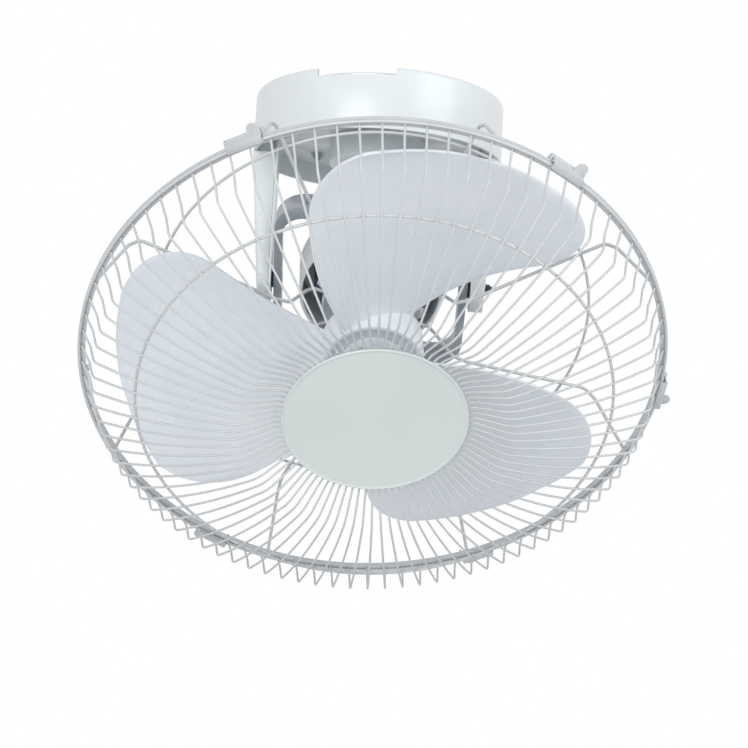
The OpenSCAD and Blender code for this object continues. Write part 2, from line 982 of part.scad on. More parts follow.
module motor_front_shell() {
    half = (flange_z - core_z1) / 2;
    color(white)
        head_frame()
            difference() {
                union() {
                    translate([0, 0, core_z1])
                        cylinder(r = bell_r, h = half);
                    translate([0, 0, core_z1 + half])
                        cylinder(r1 = bell_r, r2 = bell_r - half / 2, h = half);
                    for (a = bolt_angles)
                        rotate([0, 0, a])
                            translate([0, -bolt_d, core_z1])
                                cube([bolt_r + bolt_d, 2 * bolt_d, lug_t]);
                    translate([0, 0, flange_z - 3])
                        cylinder(r = bell_r + 3, h = 3);
                    translate([0, 0, flange_z - 1])
                        cylinder(r = bearing_r + bearing_boss, h = 14);
                }
                translate([0, 0, core_z1 - cut])
                    cylinder(r = bell_r - wall, h = flange_z - core_z1 - wall);
                translate([0, 0, core_z1 - cut])
                    cylinder(r = bearing_r, h = 100);
                for (a = bolt_angles)
                    rotate([0, 0, a])
                        translate([bolt_r, 0, core_z1 - cut])
                            cylinder(d = bolt_d, h = 2 * lug_t);
                for (a = [0 : 90 : 270])
                    rotate([0, 0, a + first_stay_az + 22.5])
                        translate([clamp_screw_r(), 0, flange_z - 5])
                            cylinder(d = 4, h = 8);
            }
}

function clamp_screw_r() = bell_r - 6;

module stator_core() {
    notch = 3;
    color(core_blue)
        head_frame()
            difference() {
                translate([0, 0, core_z0])
                    cylinder(r = core_r, h = core_len);
                translate([0, 0, core_z0 - cut])
                    cylinder(r = core_bore_r, h = 100);
                for (i = [0 : core_slots - 1])
                    rotate([0, 0, (i + 0.5) * 360 / core_slots])
                        translate([core_bore_r - 1, -slot_w / 2, core_z0 - cut])
                            cube([slot_depth + 1, slot_w, 100]);
                for (a = bolt_angles)
                    rotate([0, 0, a]) {
                        translate([bolt_r, 0, core_z0 - cut])
                            cylinder(d = bolt_d, h = core_len + 2 * cut);
                        rotate([0, 0, 26])
                            translate([core_r - 1, -notch / 2, core_z0 - cut])
                                cube([notch, notch, core_len + 2 * cut]);
                    }
            }
}

module stator_windings() {
    bar_w = slot_w - 0.6;
    end_h = 7;
    color(copper)
        head_frame() {
            for (z = [core_z0 - end_h - 0.2, core_z1 + 0.2])
                translate([0, 0, z])
                    tube(core_bore_r + slot_depth - 0.5, core_bore_r + 2, z < 0 ? end_h : end_h - 2);
            for (i = [0 : core_slots - 1])
                rotate([0, 0, (i + 0.5) * 360 / core_slots])
                    translate([core_bore_r + 2.5, -bar_w / 2, core_z0 - 2])
                        cube([slot_depth - 3.5, bar_w, core_z1 - core_z0 + 4]);
        }
}

module rear_bearing() {
    color(copper)
        head_frame()
            translate([0, 0, -motor_back + wall + 1])
                tube(bearing_r, shaft_d / 2 + run_gap, bearing_l - 5);
}

module front_bearing() {
    color(copper)
        head_frame()
            translate([0, 0, flange_z])
                tube(bearing_r, shaft_d / 2 + run_gap, bearing_l);
}

module shell_bolts() {
    color(white)
        head_frame()
            for (a = bolt_angles)
                rotate([0, 0, a])
                    translate([bolt_r, 0, core_z0 - bolt_grip + cut])
                        pan_screw(bolt_d, core_len + lug_t + bolt_grip - cut, bolt_d, 3);
}

module tail_stem() {
    color(steel)
        head_frame()
            rotate([180, 0, 0]) {
                translate([0, 0, motor_back + seat])
                    cylinder(r = 12, h = 3);
                translate([0, 0, motor_back + 2])
                    cylinder(d = stem_d, h = 30);
                translate([0, 0, motor_back + 30])
                    cylinder(d1 = stem_d, d2 = 6, h = 6);
                translate([0, 0, motor_back + 30])
                    cylinder(d = 6, h = tail_reach - ball_r - motor_back - 30);
                translate([0, 0, tail_reach - ball_r])
                    sphere(r = ball_r);
            }
}

module motor_shaft() {
    color(steel)
        head_frame()
            translate([0, 0, -motor_back + wall + 1.5])
                cylinder(d = shaft_d, h = shaft_front + motor_back - wall - 1.5);
}

module rotor_core() {
    ring_h = 5;
    color(zinc)
        head_frame()
            difference() {
                union() {
                    translate([0, 0, core_z0])
                        cylinder(d = rotor_d, h = core_z1 - core_z0);
                    translate([0, 0, core_z0 - ring_h])
                        cylinder(d = rotor_d - 6, h = core_z1 - core_z0 + 2 * ring_h - 1);
                }
                translate([0, 0, core_z0 - ring_h - cut])
                    cylinder(d = shaft_d, h = 100);
            }
}

// ---------------------------------------------------------------- propeller

function blade_radius(j) = blade_root_r + (blade_r - blade_root_r) * sin(90 * j / span_steps);
function corner_turn(r, corner) =
    let (t = max(0, r - blade_r + corner[0]) / corner[0]) corner[1] * (1 - sqrt(1 - min(1, t * t)));
function sweep_turn(r) = edge_sweep * (r - blade_mid_r);
function front_az(r) = front_edge_az - sweep_turn(r) - corner_turn(r, front_corner);
function rear_az(r) =
    front_edge_az - blade_span - sweep_turn(r) + corner_turn(r, rear_corner);
function front_edge_s(r) = front_s + front_climb * (r - blade_mid_r);
function rear_edge_s(r) = front_s - blade_rise + rear_bow * pow(r - rear_low_r, 2);
function blade_point(i, j, side) = let (
    r = blade_radius(j),
    u = i / chord_steps,
    az = rear_az(r) + u * (front_az(r) - rear_az(r)),
    low = rear_edge_s(r),
    s = low + u * (front_edge_s(r) - low) - blade_camber * sin(180 * u) * min(1, j / 3)
) [r * cos(az), r * sin(az), band_z + s + side * blade_t / 2];

module blade() {
    row = chord_steps + 1;
    sheet = row * (span_steps + 1);
    points = [
        for (side = [-1, 1])
            for (j = [0 : span_steps])
                for (i = [0 : chord_steps])
                    blade_point(i, j, side)
    ];
    back = [
        for (j = [0 : span_steps - 1])
            for (i = [0 : chord_steps - 1])
                let (a = j * row + i)
                each [[a, a + row, a + 1], [a + 1, a + row, a + row + 1]]
    ];
    front = [for (f = back) [f[0] + sheet, f[2] + sheet, f[1] + sheet]];
    rim = concat(
        [for (i = [0 : chord_steps - 1]) i],
        [for (j = [0 : span_steps - 1]) j * row + chord_steps],
        [for (i = [0 : chord_steps - 1]) sheet - 1 - i],
        [for (j = [0 : span_steps - 1]) (span_steps - j) * row]
    );
    count = len(rim);
    walls = [
        for (k = [0 : count - 1])
            let (a = rim[k], b = rim[(k + 1) % count])
            each [[a, b, a + sheet], [b, b + sheet, a + sheet]]
    ];
    polyhedron(points = points, faces = concat(back, front, walls));
}

module hub_profile() {
    r = hub_d / 2;
    difference() {
        translate([0, hub_back])
            square([r, hub_front - hub_back]);
        translate([hub_boss_r, hub_back - cut])
            square([r - hub_wall - hub_boss_r, hub_web_z - hub_back + cut]);
        translate([-cut, hub_web_z + hub_web_t])
            square([r - hub_wall - 1 + cut, 40]);
    }
}

module propeller() {
    color(blade_grey)
        head_frame()
            difference() {
                union() {
                    rotate_extrude()
                        hub_profile();
                    for (k = [0 : blade_count - 1])
                        rotate([0, 0, k * 360 / blade_count])
                            blade();
                }
                translate([0, 0, hub_back - cut])
                    cylinder(d = shaft_d, h = 40);
            }
}

module spinner_nut() {
    base = hub_web_z + hub_web_t;
    top = band_z - 5;
    color(blade_grey)
        head_frame()
            difference() {
                translate([0, 0, base])
                    cylinder(d = spinner_d, h = top - base);
                translate([0, 0, base - cut])
                    cylinder(d = shaft_d, h = shaft_front - base + cut);
                for (a = [0 : 30 : 330])
                    rotate([0, 0, a])
                        translate([spinner_d / 2 - 8, -3, top - 2])
                            cube([2, 6, 4]);
            }
}

// ---------------------------------------------------------------- guard

module guard_clamp_ring() {
    color(steel)
        head_frame()
            translate([0, 0, flange_z + stay_d + 2 * seat])
                difference() {
                    tube(bell_r + 2, bell_r - 12, 2);
                    for (a = [0 : 90 : 270])
                        rotate([0, 0, a + first_stay_az + 22.5])
                            translate([clamp_screw_r(), 0, -cut])
                                cylinder(d = 4, h = 5);
                }
}

module clamp_screws() {
    color(steel)
        head_frame()
            for (a = [0 : 90 : 270])
                rotate([0, 0, a + first_stay_az + 22.5])
                    translate([clamp_screw_r(), 0, flange_z - 3])
                        pan_screw(4, 3 + stay_d + 2 * seat + 2, 3.6, 2.2);
}

module rear_guard_stays() {
    color(wire_white)
        guard_frame()
            for (k = [0 : stay_count - 1])
                rotate([0, 0, first_stay_az + k * 360 / stay_count])
                    bent_wire(stay_path, stay_bends, stay_steps, stay_d);
}

module rear_guard_ring() {
    behind = (stay_r + ring_wire_r + touch) / cos(stay_slope());
    color(wire_white)
        guard_frame()
            translate([0, 0, stay_s(rear_ring_r) - behind])
                wire_ring(rear_ring_r, ring_wire_d);
}

function stay_slope() = atan2(
    stay_path[3][1] - stay_path[2][1],
    stay_path[2][0] - stay_path[3][0]
);
function stay_s(r) = stay_path[2][1] + (stay_path[2][0] - r) * tan(stay_slope());

module hinge_ear() {
    difference() {
        union() {
            translate([hinge[0], 0, hinge[1]])
                rotate([90, 0, 0])
                    cylinder(r = knuckle_r, h = ear_t);
            translate([guard_r - band_w / 2, -ear_t, hinge[1] - knuckle_r])
                cube([band_w / 2 + 1.2, ear_t, -hinge[1] + knuckle_r - band_half + 0.5]);
        }
        translate([hinge[0], cut, hinge[1]])
            rotate([90, 0, 0])
                cylinder(r = hinge_pin_r, h = ear_t + 2 * cut);
    }
}

module guard_band() {
    color(zinc)
        guard_frame()
            difference() {
                union() {
                    translate([0, 0, -band_half])
                        tube(guard_r, guard_r - band_w, band_t);
                    rotate([0, 0, screw_az])
                        translate([lock_screw_r - lock_tab / 2, -lock_tab / 2, -band_half])
                            cube([lock_tab, lock_tab, band_t - seat]);
                    for (a = clip_angles)
                        for (y = [-1, 1])
                            rotate([0, 0, a])
                                translate([0, y * (clip_l / 2 + 0.3) + (y > 0 ? ear_t : 0), 0])
                                    hinge_ear();
                }
                rotate([0, 0, screw_az])
                    translate([lock_screw_r, 0, -band_t])
                        cylinder(d = 2, h = 2 * band_t);
            }
}

module clip_pins() {
    color(steel)
        guard_frame()
            for (a = clip_angles)
                rotate([0, 0, a])
                    translate([hinge[0], clip_l / 2 + 0.3 + ear_t, hinge[1]])
                        rotate([90, 0, 0])
                            cylinder(r = hinge_pin_r, h = clip_l + 0.6 + 2 * ear_t);
}

module band_screw() {
    color(steel)
        guard_frame()
            rotate([0, 0, screw_az])
                translate([lock_screw_r, 0, -band_half - 1])
                    pan_screw(2, band_t + 1, 2, 1.4);
}

// One lever clip: it hooks over the front ring and swings out on its pin
module guard_clip() {
    reach = clip_lip_s + clip_t - hinge[1];
    difference() {
        union() {
            translate([hinge[0], clip_l / 2, hinge[1]])
                rotate([90, 0, 0])
                    cylinder(r = knuckle_r, h = clip_l);
            translate([clip_out_r, -clip_l / 2, hinge[1]])
                cube([clip_t, clip_l, reach]);
            translate([clip_lip_r, -clip_l / 2, clip_lip_s])
                cube([clip_out_r + clip_t - clip_lip_r, clip_l, clip_t]);
            translate([clip_out_r + clip_t / 2, -clip_l / 2, hinge[1] + knuckle_r])
                cube([tab_size - 4, tab_size, clip_t]);
            translate([clip_out_r + tab_size - 4, -clip_l / 2 + tab_size / 2, hinge[1] + knuckle_r])
                cylinder(d = tab_size, h = clip_t);
        }
        translate([hinge[0], clip_l, hinge[1]])
            rotate([90, 0, 0])
                cylinder(r = hinge_pin_r + run_gap, h = 2 * clip_l);
    }
}

module guard_clip_at(i) {
    color(zinc)
        guard_frame()
            rotate([0, 0, clip_angles[i - 1]])
                guard_clip();
}

module guard_clip_1() { guard_clip_at(1); }
module guard_clip_2() { guard_clip_at(2); }
module guard_clip_3() { guard_clip_at(3); }
module guard_clip_4() { guard_clip_at(4); }
module guard_clip_5() { guard_clip_at(5); }

module front_guard_wires() {
    color(wire_white)
        guard_frame()
            for (k = [0 : guard_wires - 1])
                rotate([0, 0, first_wire_az + k * 360 / guard_wires])
                    bent_wire(front_path, front_bends, front_steps, wire_d);
}

// The inner and middle rings lie behind the wires, the outer ring on the band
module front_guard_rings() {
    ring_gap = wire_r + ring_wire_r + touch;
    mid_lean = asin((mid_ring_r - dome_axis_r) / dome_r);
    chord_sag = dome_r * (1 - cos(dome_half / front_steps[3]));
    mid_s = dome_point(mid_lean, dome_r)[1] - chord_sag;
    color(wire_white)
        guard_frame() {
            translate([0, 0, seat_s - ring_gap])
                wire_ring(wire_in_r + 3, ring_wire_d);
            translate([0, 0, mid_s - ring_gap * cos(mid_lean)])
                wire_ring(mid_ring_r - ring_gap * sin(mid_lean), ring_wire_d);
            translate([0, 0, band_half + ring_wire_r + touch])
                wire_ring(outer_ring_r, ring_wire_d);
        }
}

module badge_plate() {
    back = seat_s - wire_r - ring_wire_d - seat - 2;
    color(steel)
        guard_frame()
            translate([0, 0, back])
                difference() {
                    tube(wire_in_r + 6, 12, 2);
                    for (a = [0 : 120 : 240])
                        rotate([0, 0, a])
                            translate([wire_in_r - 10, 0, -cut])
                                cylinder(d = 4, h = 4);
                }
}

module badge_cap() {
    back = seat_s + wire_r + seat;
    color(badge_grey)
        guard_frame()
            difference() {
                union() {
                    translate([0, 0, back])
                        cylinder(r = badge_r, h = 1.4);
                    translate([0, 0, back + 1.4])
                        tube(badge_r, badge_r - 2, 0.8);
                    for (a = [0 : 120 : 240])
                        rotate([0, 0, a])
                            translate([wire_in_r - 10, 0, seat_s - wire_r - ring_wire_d - seat])
                                cylinder(d = 8, h = wire_d + ring_wire_d + 2 * seat + 0.4);
                }
                for (a = [0 : 120 : 240])
                    rotate([0, 0, a])
                        translate([wire_in_r - 10, 0, seat_s - wire_r - ring_wire_d - cut])
                            cylinder(d = 4, h = wire_r + ring_wire_d + cut);
            }
}

module badge_screws() {
    color(steel)
        guard_frame()
            for (a = [0 : 120 : 240])
                rotate([0, 0, a])
                    translate([wire_in_r - 10, 0, seat_s])
                        rotate([180, 0, 0])
                            pan_screw(4, wire_r + ring_wire_d + seat + 2, 3.6, 2);
}

// ---------------------------------------------------------------- assembly

mounting_plate();
plate_studs();
canopy_nuts();
canopy_shell();
terminal_block();
run_capacitor();
orbit_motor();
orbit_motor_screws();
orbit_housing();
leg_frame();
frame_screws();
left_leg_cover();
right_leg_cover();
left_inner_cover();
right_inner_cover();
pivot_screws();
lock_nut();
orbit_shaft();
crank_arm();
crank_screw();
ball_socket();
gimbal_ring();
pivot_bushes();
roll_screws();
roll_bushes();
motor_rear_shell();
motor_front_shell();
stator_core();
stator_windings();
rear_bearing();
front_bearing();
shell_bolts();
tail_stem();
guard_clamp_ring();
clamp_screws();
motor_shaft();
rotor_core();
propeller();
spinner_nut();
rear_guard_stays();
rear_guard_ring();
guard_band();
clip_pins();
band_screw();
front_guard_wires();
front_guard_rings();
badge_plate();
badge_cap();
badge_screws();
guard_clip_1();
guard_clip_2();
guard_clip_3();
guard_clip_4();
guard_clip_5();
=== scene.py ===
# %% [markdown]
# # An orbital ceiling fan, dressed for the camera
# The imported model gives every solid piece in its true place. This file adds what the eye
# needs: round wires in place of faceted ones, softened edges, smooth blades and a
# finish for each material. Nothing is moved, so the fan still fits its own sizes.

import json
from math import asin, atan2, cos, degrees, pi, radians, sin, sqrt, tan

import bmesh
import bpy
from mathutils import Matrix, Vector


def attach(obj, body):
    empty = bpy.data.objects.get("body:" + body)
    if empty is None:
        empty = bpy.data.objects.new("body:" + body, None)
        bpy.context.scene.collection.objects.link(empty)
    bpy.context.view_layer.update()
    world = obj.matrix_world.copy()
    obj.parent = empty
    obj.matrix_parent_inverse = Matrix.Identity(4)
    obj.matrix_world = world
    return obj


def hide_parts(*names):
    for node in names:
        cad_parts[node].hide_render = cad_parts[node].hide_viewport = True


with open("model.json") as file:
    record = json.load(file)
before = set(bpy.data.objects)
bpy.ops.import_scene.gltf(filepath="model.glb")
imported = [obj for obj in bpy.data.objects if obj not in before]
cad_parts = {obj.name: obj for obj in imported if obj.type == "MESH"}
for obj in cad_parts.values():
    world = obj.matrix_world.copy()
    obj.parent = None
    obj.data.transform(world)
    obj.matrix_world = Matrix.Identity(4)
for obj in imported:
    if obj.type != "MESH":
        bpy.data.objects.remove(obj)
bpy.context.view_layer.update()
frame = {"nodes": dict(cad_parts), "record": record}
scene = bpy.context.scene
MM = 0.001
print("pieces in the packed fan:", len(frame["nodes"]))

# %% [markdown]
# ## The camera
# The camera stands where the photographer stood: in front of the fan and a little under
# its gimbal, looking up. Its place and turn were worked out from points of the photograph
# whose real places are known, such as the ends of the legs and the rim of the guard. The
# two directions below are where it looks and which way is up, and its right follows.

# %% Camera
CAMERA_PLACE = (-0.0121, -1.3482, -0.3989)
LENS_MM, SENSOR_MM = 79.43, 36
camera_up = Vector((-0.0544, -0.1241, 0.9908))
camera_forward = Vector((0.0139, 0.9921, 0.1250)).normalized()
camera_up = (camera_up - camera_up.dot(camera_forward) * camera_forward).normalized()
camera_right = camera_forward.cross(camera_up)
camera_turn = Matrix((camera_right, camera_up, -camera_forward)).transposed()
camera = bpy.data.objects.new("camera", bpy.data.cameras.new("camera"))
camera.data.lens = LENS_MM
camera.data.sensor_width = SENSOR_MM
camera.matrix_world = Matrix.Translation(CAMERA_PLACE) @ camera_turn.to_4x4()
camera.data.clip_start = 0.05
scene.collection.objects.link(camera)
scene.camera = camera
scene.view_settings.view_transform = "Standard"
print("lens", round(camera.data.lens, 2), "mm, camera at", camera.location[:])

# %% [markdown]
# ## Colours and nodes
# Colours are easiest to read off a screen as hex values, but the renderer adds light in a
# linear scale, so one function turns the one into the other. A second one adds a node,
# sets its options and feeds its sockets, for shaders and for geometry alike.

# %% Helpers for colours and nodes
def linear(hex_colour):
    """Turns an sRGB hex value into the linear colour that the renderer needs."""
    parts = [int(hex_colour[i:i + 2], 16) / 255 for i in (0, 2, 4)]
    return (*[p / 12.92 if p <= 0.04045 else ((p + 0.055) / 1.055) ** 2.4 for p in parts], 1)


def add(tree, kind, feeds=None, **settings):
    """Adds a node to a tree; feeds maps a socket to a value or to another node's output."""
    node = tree.nodes.new(kind)
    for name, value in settings.items():
        setattr(node, name, value)
    for socket, value in (feeds or {}).items():
        if isinstance(value, bpy.types.NodeSocket):
            tree.links.new(value, node.inputs[socket])
        else:
            node.inputs[socket].default_value = value
    return node


def new_finish(name):
    """An empty material, with the texture-coordinate node that every finish here starts from."""
    material = bpy.data.materials.new(name)
    material.use_nodes = True
    material.node_tree.nodes.clear()
    place = add(material.node_tree, "ShaderNodeTexCoord")
    return material, material.node_tree, place.outputs["Object"]


def close_finish(tree, surface):
    """Joins the finished surface to the material's output."""
    add(tree, "ShaderNodeOutputMaterial", {"Surface": surface.outputs[0]})


def ramp(tree, factor, stops):
    """A colour ramp from a list of (position, hex colour)."""
    node = add(tree, "ShaderNodeValToRGB", {"Fac": factor})
    marks = node.color_ramp.elements
    while len(marks) < len(stops):
        marks.new(0.5)
    for mark, (position, colour) in zip(marks, stops):
        mark.position = position
        mark.color = linear(colour)
    return node.outputs["Color"]


print("white, linear:", [round(v, 3) for v in linear("E4E8E8")[:3]])

# %% [markdown]
# ## The head's own axes
# The motor head leans away from straight down by two angles, one at each axis of the
# gimbal. Pieces of the head are easiest to make in its own frame, with +Z out through the
# badge, and one matrix then sets them in place. The values repeat those of the solids.

# %% Head frame
ORBIT_TILT, ORBIT_PHASE = 42.28, 2.64
PIVOT = Vector((0, 0, -0.153))
BAND_Z = 110.4
head = (
    Matrix.Translation(PIVOT)
    @ Matrix.Rotation(radians(-ORBIT_TILT), 4, "X")
    @ Matrix.Rotation(radians(-ORBIT_PHASE), 4, "Y")
    @ Matrix.Rotation(pi, 4, "X")
)
guard = head @ Matrix.Translation((0, 0, BAND_Z * MM))
head_axis = (head.to_3x3() @ Vector((0, 0, 1))).normalized()
print("the badge faces", [round(v, 3) for v in head_axis])

# %% [markdown]
# ## Finish: moulded white plastic
# The canopy and the leg covers are injection-moulded ABS. Moulded ABS is glossy but not
# a mirror: the mould's polish leaves a faint unevenness, a few millimetres across, that
# breaks up highlights, and the tint drifts slightly over a wide wall. A small noise moves
# the roughness, a broad one the colour, and a low bump stands for the sink marks.

# %% White ABS
def moulded_abs(name, colour, shade, roughness, coat):
    material, tree, place = new_finish(name)
    drift = add(tree, "ShaderNodeTexNoise", {"Vector": place, "Scale": 14.0, "Detail": 2.0})
    polish = add(tree, "ShaderNodeTexNoise", {"Vector": place, "Scale": 260.0, "Detail": 3.0})
    gloss = add(tree, "ShaderNodeMapRange", {
        "Value": polish.outputs["Fac"], "To Min": roughness - 0.04, "To Max": roughness + 0.05})
    sink = add(tree, "ShaderNodeBump", {
        "Height": drift.outputs["Fac"], "Strength": 0.06, "Distance": 0.002})
    surface = add(tree, "ShaderNodeBsdfPrincipled", {
        "Base Color": ramp(tree, drift.outputs["Fac"], [(0.3, shade), (0.7, colour)]),
        "Roughness": gloss.outputs["Result"], "Normal": sink.outputs["Normal"],
        "IOR": 1.53, "Coat Weight": coat, "Coat Roughness": 0.15})
    close_finish(tree, surface)
    return material


canopy_abs = moulded_abs("canopy_abs", "DFE3E4", "D9DEDF", 0.34, 0.15)
badge_abs = moulded_abs("badge_abs", "D2D8D6", "CED4D2", 0.30, 0.2)
terminal_abs = moulded_abs("terminal_nylon", "E8E4D8", "E0DCCE", 0.45, 0.0)
print("moulded finishes:", canopy_abs.name, badge_abs.name, terminal_abs.name)

# %% [markdown]
# ## Finish: blade plastic
# The propeller is moulded in one piece from AS resin with a cool grey tint. Its skin is
# smoother than the canopy's, and the melt leaves very faint flow marks. A soft, slightly
# distorted noise, turned to lie with the head, draws them in the tint and as a low relief.

# %% Blade AS resin
def blade_resin():
    material, tree, place = new_finish("blade_resin")
    local = add(tree, "ShaderNodeMapping", {
        "Vector": place, "Rotation": (radians(ORBIT_TILT), 0, 0)}, vector_type="POINT")
    flow = add(tree, "ShaderNodeTexNoise", {
        "Vector": local.outputs["Vector"], "Scale": 22.0, "Detail": 4.0, "Distortion": 0.8})
    grain = add(tree, "ShaderNodeTexNoise", {
        "Vector": local.outputs["Vector"], "Scale": 420.0, "Detail": 2.0})
    gloss = add(tree, "ShaderNodeMapRange", {
        "Value": grain.outputs["Fac"], "To Min": 0.36, "To Max": 0.46})
    skin = add(tree, "ShaderNodeBump", {
        "Height": flow.outputs["Fac"], "Strength": 0.05, "Distance": 0.003})
    surface = add(tree, "ShaderNodeBsdfPrincipled", {
        "Base Color": ramp(tree, flow.outputs["Fac"], [(0.3, "DFE4E9"), (0.7, "E5E9EE")]),
        "Roughness": gloss.outputs["Result"], "Normal": skin.outputs["Normal"],
        "IOR": 1.57, "Coat Weight": 0.1, "Coat Roughness": 0.2})
    close_finish(tree, surface)
    return material


blade_as = blade_resin()
print("blade finish:", blade_as.name)

# %% [markdown]
# ## Finishes: enamel, powder coat and lacquer
# The guard's wires are dipped in epoxy enamel, the motor shells are powder coated, and
# the gimbal is a zinc casting under silver lacquer. All are paint over metal and differ
# in how the skin dried: enamel runs smooth, powder leaves orange peel about a millimetre
# across, and lacquer follows the grain of the casting.

# %% Painted metals
def painted_metal(name, colour, shade, peel_mm, depth_mm, roughness, coat=0.0, metallic=0.0):
    material, tree, place = new_finish(name)
    peel = add(tree, "ShaderNodeTexNoise", {
        "Vector": place, "Scale": 1 / (peel_mm * MM), "Detail": 2.0, "Roughness": 0.45})
    clouds = add(tree, "ShaderNodeTexNoise", {"Vector": place, "Scale": 30.0, "Detail": 3.0})
    gloss = add(tree, "ShaderNodeMapRange", {
        "Value": clouds.outputs["Fac"], "To Min": roughness - 0.05, "To Max": roughness + 0.06})
    skin = add(tree, "ShaderNodeBump", {
        "Height": peel.outputs["Fac"], "Strength": 0.5, "Distance": depth_mm * MM})
    surface = add(tree, "ShaderNodeBsdfPrincipled", {
        "Base Color": ramp(tree, clouds.outputs["Fac"], [(0.3, shade), (0.7, colour)]),
        "Metallic": metallic, "Roughness": gloss.outputs["Result"],
        "Normal": skin.outputs["Normal"], "Coat Weight": coat, "Coat Roughness": 0.12})
    close_finish(tree, surface)
    return material


wire_enamel = painted_metal("wire_epoxy_enamel", "C9CBCC", "C2C4C5", 2.5, 0.03, 0.34, 0.2)
motor_powder = painted_metal("motor_powder_coat", "E0E4E4", "D8DCDC", 1.0, 0.05, 0.42)
guard_lacquer = painted_metal("guard_grey_lacquer", "C6C8CA", "BEC0C3", 1.4, 0.03, 0.38, 0.1)
zinc_lacquer = painted_metal(
    "zinc_casting_lacquer", "B4B9BE", "9DA2A8", 0.8, 0.09, 0.4, 0.15, metallic=0.35)
print("painted metals:", wire_enamel.name, motor_powder.name, guard_lacquer.name)

# %% [markdown]
# ## Finishes: bare metals
# Screws, studs, the crank and the ceiling plate are zinc-plated steel, whose crystals
# are far finer than a pixel, so a cell pattern of about a millimetre stands for them. The
# bearings are sintered bronze and the rotor is die-cast aluminium. The windings are copper
# wire and the core is a stack of thin sheets. Both are drawn as bands of 5 to 6 mm, which
# is coarser than the real wire and sheets, so that they can be seen from the camera.

# %% Bare metals
def bare_metal(name, colour, shade, cell_mm, roughness):
    material, tree, place = new_finish(name)
    cells = add(tree, "ShaderNodeTexVoronoi", {"Vector": place, "Scale": 1 / (cell_mm * MM)})
    rub = add(tree, "ShaderNodeTexNoise", {"Vector": place, "Scale": 90.0, "Detail": 4.0})
    gloss = add(tree, "ShaderNodeMapRange", {
        "Value": rub.outputs["Fac"], "To Min": roughness - 0.08, "To Max": roughness + 0.1})
    surface = add(tree, "ShaderNodeBsdfPrincipled", {
        "Base Color": ramp(tree, cells.outputs["Color"], [(0.2, shade), (0.8, colour)]),
        "Metallic": 1.0, "Roughness": gloss.outputs["Result"]})
    close_finish(tree, surface)
    return material


zinc_plate = bare_metal("zinc_plated_steel", "C9CCD0", "BCC0C5", 1.0, 0.32)
bronze = bare_metal("sintered_bronze", "A9824C", "94703F", 0.4, 0.5)
rotor_alloy = bare_metal("die_cast_aluminium", "BFC2C6", "B0B3B8", 1.6, 0.45)
print("bare metals:", zinc_plate.name, bronze.name, rotor_alloy.name)


# %% Copper windings and the laminated core
WAVE_CREST = 0.314  # metres from crest to crest of a wave texture at scale 1


def banded(name, colour, groove, band_mm, along, metallic, roughness, depth_mm):
    """Thin layers or turns of wire, stacked along one direction of the head."""
    material, tree, place = new_finish(name)
    turned = add(tree, "ShaderNodeMapping", {
        "Vector": place, "Rotation": head.to_3x3().inverted().to_euler()})
    layers = add(tree, "ShaderNodeTexWave", {
        "Vector": turned.outputs["Vector"], "Scale": WAVE_CREST / (band_mm * MM),
        "Distortion": 0.15}, bands_direction=along)
    relief = add(tree, "ShaderNodeBump", {
        "Height": layers.outputs["Fac"], "Strength": 0.8, "Distance": depth_mm * MM})
    surface = add(tree, "ShaderNodeBsdfPrincipled", {
        "Base Color": ramp(tree, layers.outputs["Fac"], [(0.1, groove), (0.5, colour)]),
        "Metallic": metallic, "Roughness": roughness, "Normal": relief.outputs["Normal"]})
    close_finish(tree, surface)
    return material


core_steel = banded("varnished_laminations", "515A70", "2E3442", 6.283, "Z", 0.6, 0.4, 0.15)
copper = banded("enamelled_copper", "B4632E", "6E3414", 5.027, "Z", 0.9, 0.35, 0.2)
print("core and winding:", core_steel.name, copper.name)

# %% [markdown]
# ## Finish: black nylon
# The gimbal's bushes, the crank's socket, the pivot screws, the lock nut and the capacitor
# are black nylon. Moulded nylon is matt, with a spark-eroded texture of about half a
# millimetre.

# %% Black nylon
black_nylon, nylon_tree, nylon_place = new_finish("black_nylon")
SPARK_MM = 0.5
spark = add(nylon_tree, "ShaderNodeTexVoronoi", {
    "Vector": nylon_place, "Scale": 1 / (SPARK_MM * MM)})
spark_bump = add(nylon_tree, "ShaderNodeBump", {
    "Height": spark.outputs["Distance"], "Strength": 0.35, "Distance": 0.0001})
nylon_cloud = add(nylon_tree, "ShaderNodeTexNoise", {"Vector": nylon_place, "Scale": 60.0})
close_finish(nylon_tree, add(nylon_tree, "ShaderNodeBsdfPrincipled", {
    "Base Color": ramp(
        nylon_tree, nylon_cloud.outputs["Fac"], [(0.3, "1B1C1E"), (0.7, "26272A")]),
    "Roughness": 0.52, "Normal": spark_bump.outputs["Normal"], "IOR": 1.53}))
print("black parts:", black_nylon.name)

# %% [markdown]
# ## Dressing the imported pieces
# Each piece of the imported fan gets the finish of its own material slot. Most pieces also
# get a softened copy, because no real edge is perfectly sharp: a bevel a few tenths of a
# millimetre wide is what catches the light. Hidden and very small pieces keep their own.

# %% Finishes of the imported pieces
FINISHES = {
    "canopy_white": canopy_abs, "motor_white": motor_powder, "zinc_casting": zinc_lacquer,
    "guard_zinc": guard_lacquer, "steel": zinc_plate, "black_plastic": black_nylon,
    "lamination": core_steel, "copper": copper, "bronze": bronze, "rotor_alloy": rotor_alloy,
    "blade_plastic": blade_as, "wire_enamel": wire_enamel, "badge_plastic": badge_abs,
}
slot_of = {s["node"]: s["material_slot"] for s in frame["record"]["subparts"]}
body_of = {n: b for b, nodes in frame["record"]["behaviour"]["bodies"].items() for n in nodes}
for name, piece in frame["nodes"].items():
    piece.data.materials.clear()
    piece.data.materials.append(FINISHES[slot_of[name]])
frame["nodes"]["terminal_block"].data.materials[0] = terminal_abs
print("dressed", len(slot_of), "packed pieces in", len(FINISHES), "finishes")


